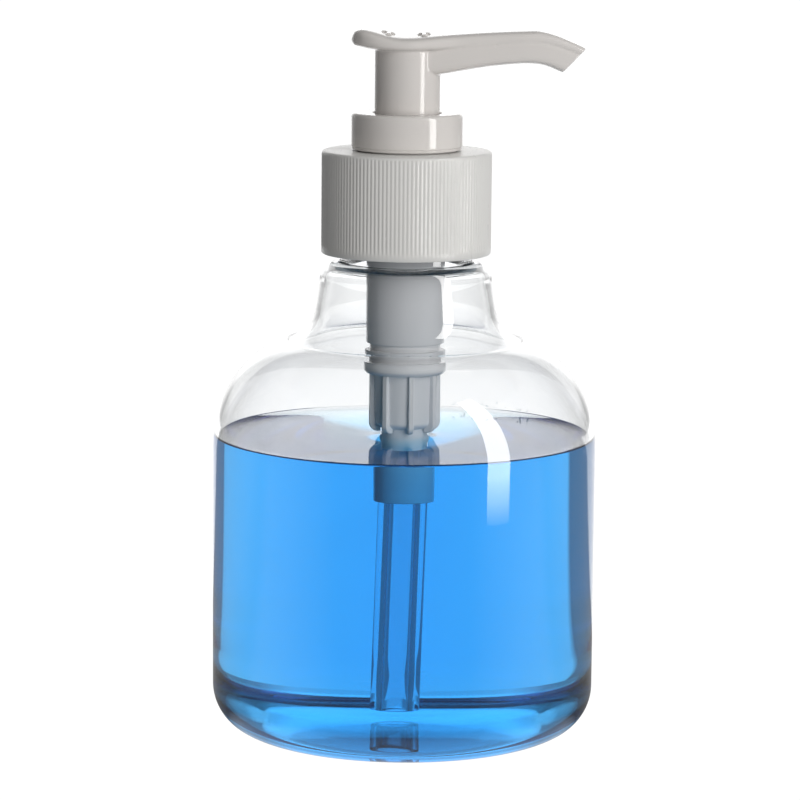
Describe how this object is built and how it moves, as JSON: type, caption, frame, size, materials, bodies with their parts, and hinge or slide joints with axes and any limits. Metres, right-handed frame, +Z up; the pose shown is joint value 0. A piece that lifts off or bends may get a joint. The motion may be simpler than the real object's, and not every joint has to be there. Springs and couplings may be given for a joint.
{
  "type": "soap pump dispenser",
  "caption": "Clear round bottle of liquid soap with a screw closure and a spring-return press pump with a side spout.",
  "frame": {"origin": "centre of the bottle's foot, on the surface that it stands on", "axes": "+Z up along the bottle's axis, +X along the spout at rest"},
  "size_m": [0.0726, 0.0726, 0.1334],
  "materials": {
    "clear_bottle": "clear, polished",
    "blue_soap": "clear blue liquid",
    "white_closure": "fine upright ribs, satin",
    "white_pump": "smooth, satin",
    "natural_housing": "translucent, satin",
    "natural_tube": "milky, smooth",
    "soft_seal": "soft, dull",
    "steel": "drawn wire, polished ball"
  },
  "bodies": {
    "bottle": {"bottle": "clear_bottle", "soap_fill": "blue_soap"},
    "pump": {"housing": "natural_housing", "collar": "white_pump", "neck_gasket": "soft_seal", "dip_tube": "natural_tube", "stem_seal": "soft_seal", "return_spring": "steel"},
    "closure": {"closure": "white_closure"},
    "plunger": {"valve_rod": "white_pump"},
    "head": {"stem": "white_pump", "actuator": "white_pump"},
    "piston": {"piston": "soft_seal"},
    "ball": {"inlet_ball": "steel"}
  },
  "joints": [
    {"name": "pump_lift", "type": "slide", "parent": "bottle", "child": "pump", "axis": [0, 0, 1], "range_m": [0, 0.0064]},
    {"name": "closure_turn", "type": "hinge", "parent": "pump", "child": "closure", "pos_m": [0, 0, 0.1], "axis": [0, 0, 1], "range_deg": [0, 540]},
    {"name": "press_stroke", "type": "slide", "parent": "pump", "child": "plunger", "axis": [0, 0, -1], "range_m": [0, 0.0067], "stiffness_N_per_m": 1800, "deforming": ["return_spring"]},
    {"name": "head_swivel", "type": "hinge", "parent": "plunger", "child": "head", "pos_m": [0, 0, 0.12], "axis": [0, 0, 1], "continuous": true},
    {"name": "piston_slip", "type": "slide", "parent": "plunger", "child": "piston", "axis": [0, 0, 1], "range_m": [0, 0.0012]},
    {"name": "ball_lift", "type": "slide", "parent": "pump", "child": "ball", "axis": [0, 0, 1], "range_m": [0, 0.0018]}
  ],
  "couplings": [
    {"joint": "pump_lift", "follows": "closure_turn", "m_per_rad": 0.00067376}
  ]
}
